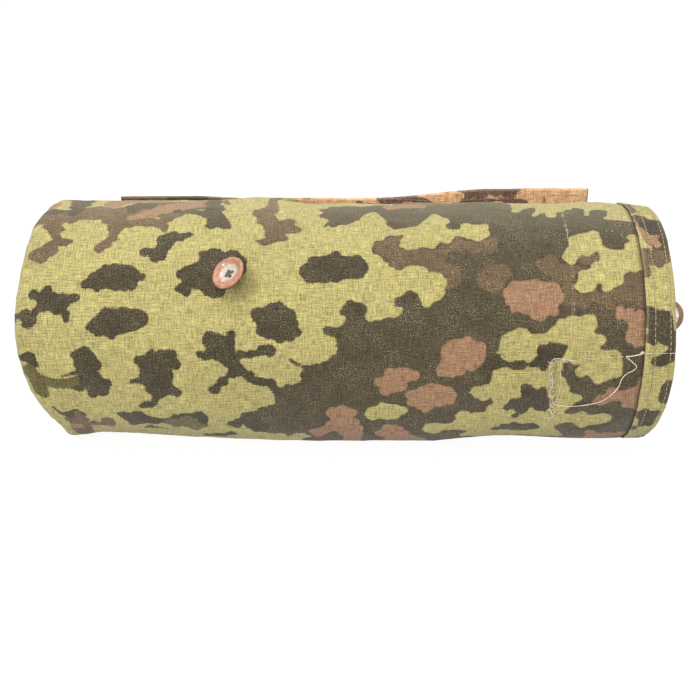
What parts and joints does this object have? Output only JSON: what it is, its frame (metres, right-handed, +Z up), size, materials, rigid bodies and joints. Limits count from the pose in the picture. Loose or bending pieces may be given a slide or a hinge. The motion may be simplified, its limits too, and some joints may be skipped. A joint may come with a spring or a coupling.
{
  "type": "hand warmer muff",
  "caption": "Padded cloth tube muff with a bound cuff, a reversible rear flap, dished metal buttons and a hand-stitched mend.",
  "frame": {"origin": "centre of the flattened underside on which the muff rests", "axes": "+X along the hand tunnel towards the bound cuff, +Z up, -Y towards the front with the button"},
  "size_m": [0.3187, 0.1264, 0.1185],
  "materials": {
    "camouflage_cloth": "worn plain-weave cotton with a leaf-spot print in yellow green, dark brown and pink brown",
    "reversible_cloth": "plain-weave cotton printed green on the outer side and autumn orange and brown on the inner side",
    "wool_lining": "napped grey-brown wool blanket",
    "cotton_wadding": "matt cotton batting",
    "sewing_thread": "twisted linen thread",
    "mending_thread": "twisted off-white thread",
    "button_thread": "grey button thread",
    "painted_button": "red-brown paint worn through to pale bright metal in the dish"
  },
  "bodies": {
    "muff": {"outer_shell": "camouflage_cloth", "back_seam": "camouflage_cloth", "back_seam_stitches": "sewing_thread", "wadding": "cotton_wadding", "lining": "wool_lining", "lining_seam": "wool_lining", "left_hem_stitches": "sewing_thread", "cuff_binding": "camouflage_cloth", "cuff_stitches_inner": "sewing_thread", "cuff_stitches_rim": "sewing_thread", "flap_root_tape": "camouflage_cloth", "flap_root_stitches": "sewing_thread", "mend_whip_stitches": "mending_thread", "mend_running_stitches": "mending_thread", "mend_bar_tack": "mending_thread", "old_seam_threads": "mending_thread", "loose_thread": "mending_thread", "front_button_anchor": "button_thread", "cuff_button_anchor": "button_thread"},
    "rear_flap": {"flap_panel": "reversible_cloth", "flap_facing": "reversible_cloth", "flap_hem_stitches": "sewing_thread", "flap_end_hem_left": "reversible_cloth", "flap_end_hem_right": "reversible_cloth"},
    "front_button_stem": {"front_button_shank": "button_thread"},
    "front_button_disc": {"front_button": "painted_button", "front_button_threads": "button_thread"},
    "cuff_button_stem": {"cuff_button_shank": "button_thread"},
    "cuff_button_disc": {"cuff_button": "painted_button", "cuff_button_threads": "button_thread"}
  },
  "joints": [
    {"name": "flap_fold", "type": "hinge", "parent": "muff", "child": "rear_flap", "pos_m": [0, 0.0628, 0.0625], "axis": [-1, 0, 0], "range_deg": [-8, 160], "stiffness_Nm_per_rad": 0.01},
    {"name": "front_button_rock", "type": "hinge", "parent": "muff", "child": "front_button_stem", "pos_m": [-0.053, -0.0484, 0.09413], "axis": [0.4067, 0.5561, 0.7248], "range_deg": [0, 50], "stiffness_Nm_per_rad": 0.0006},
    {"name": "front_button_twist", "type": "hinge", "parent": "front_button_stem", "child": "front_button_disc", "pos_m": [-0.053, -0.0484, 0.09413], "axis": [-0.4568, -0.5633, 0.6885], "range_deg": [-25, 25], "stiffness_Nm_per_rad": 0.0003},
    {"name": "cuff_button_rock", "type": "hinge", "parent": "muff", "child": "cuff_button_stem", "pos_m": [0.1538, -0.04172, 0.07386], "axis": [0, -0.3746, -0.9272], "range_deg": [-20, 12], "stiffness_Nm_per_rad": 0.0006},
    {"name": "cuff_button_twist", "type": "hinge", "parent": "cuff_button_stem", "child": "cuff_button_disc", "pos_m": [0.1538, -0.04172, 0.07386], "axis": [0.342, 0.8713, -0.352], "range_deg": [-25, 25], "stiffness_Nm_per_rad": 0.0003}
  ]
}
